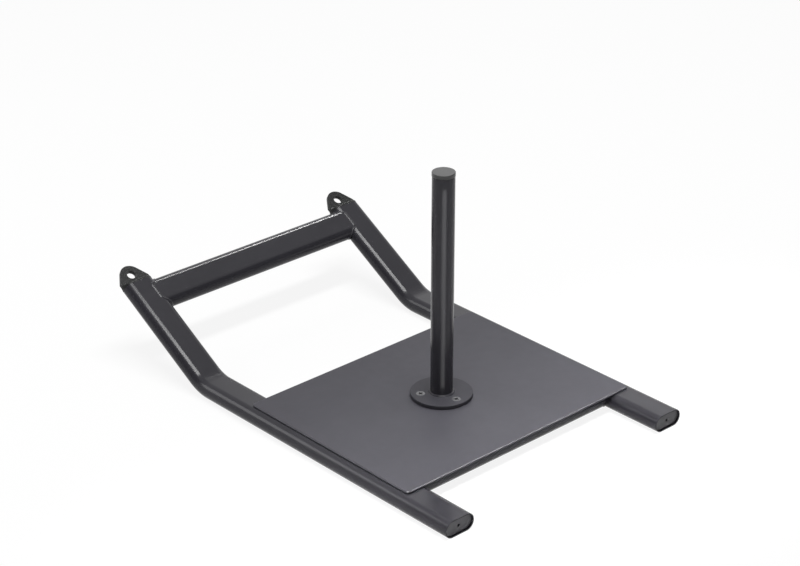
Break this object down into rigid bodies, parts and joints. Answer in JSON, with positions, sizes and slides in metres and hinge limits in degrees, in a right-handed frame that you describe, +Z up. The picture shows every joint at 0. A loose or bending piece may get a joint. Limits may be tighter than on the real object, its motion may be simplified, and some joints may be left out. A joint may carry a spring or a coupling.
{
  "type": "weight sled",
  "caption": "Pull sled with bent flat-oval runners, a flat deck and an upright post for weight plates; drilled lugs take the pull strap.",
  "frame": {"origin": "on the floor, in the middle of the sled's outline seen from above", "axes": "+Z up, +Y towards the tail ends of the runners, -Y towards the turned-up pulling end, +X towards runner_left"},
  "size_m": [0.36, 0.5682, 0.2945],
  "materials": {
    "frame_coat": "satin black powder coat",
    "deck_coat": "satin black powder coat, a little smoother on the flat sheet",
    "tail_cap_plastic": "moulded dark grey plastic",
    "post_cap_plastic": "moulded dark grey plastic",
    "fastener_steel": "zinc-plated steel"
  },
  "bodies": {
    "root": {"runner_left": "frame_coat", "lug_left": "frame_coat", "tail_cap_left": "tail_cap_plastic", "runner_right": "frame_coat", "lug_right": "frame_coat", "tail_cap_right": "tail_cap_plastic", "front_crossbar": "frame_coat", "rear_beam": "frame_coat", "front_beam": "frame_coat", "deck_plate": "deck_coat", "post_flange": "frame_coat", "post_tube": "frame_coat", "post_cap": "post_cap_plastic", "flange_screw_1": "fastener_steel", "flange_washer_1": "fastener_steel", "flange_nut_1": "fastener_steel", "flange_screw_2": "fastener_steel", "flange_washer_2": "fastener_steel", "flange_nut_2": "fastener_steel", "flange_screw_3": "fastener_steel", "flange_washer_3": "fastener_steel", "flange_nut_3": "fastener_steel"}
  },
  "joints": []
}
